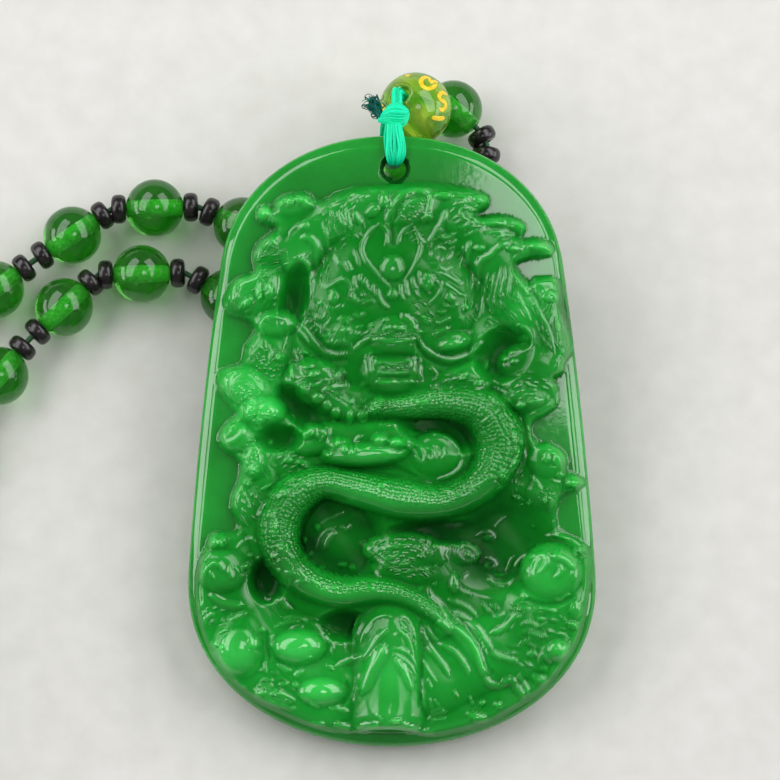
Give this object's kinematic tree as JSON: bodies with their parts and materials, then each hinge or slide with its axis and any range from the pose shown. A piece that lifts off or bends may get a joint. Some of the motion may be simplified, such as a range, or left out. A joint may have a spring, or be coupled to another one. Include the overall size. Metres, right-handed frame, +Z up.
{
  "type": "carved pendant necklace",
  "caption": "Arched green stone pendant with a dragon in relief, on a looped strand of green glass beads with black seed-bead spacers, a silk loop, and a larger gilt-marked bead.",
  "frame": {"origin": "on the table, under the middle of the box round the whole laid-out necklace", "axes": "+X to the right across the plaque, away from the loop of beads; +Y towards the plaque's crown; +Z up, out of the carved face"},
  "size_m": [0.2223, 0.1502, 0.0148],
  "materials": {
    "jade": "carved and polished translucent stone",
    "silk": "flat silk, glossy along its threads",
    "gilt_glass": "polished glass with gilt marks",
    "bead_glass": "clear polished glass",
    "thread": "twisted thread"
  },
  "bodies": {
    "root": {"carved_plaque": "jade", "silk_loop": "silk", "silk_knot": "silk", "gilt_bead": "gilt_glass", "bead_string": "bead_glass", "thread": "thread"}
  },
  "joints": []
}
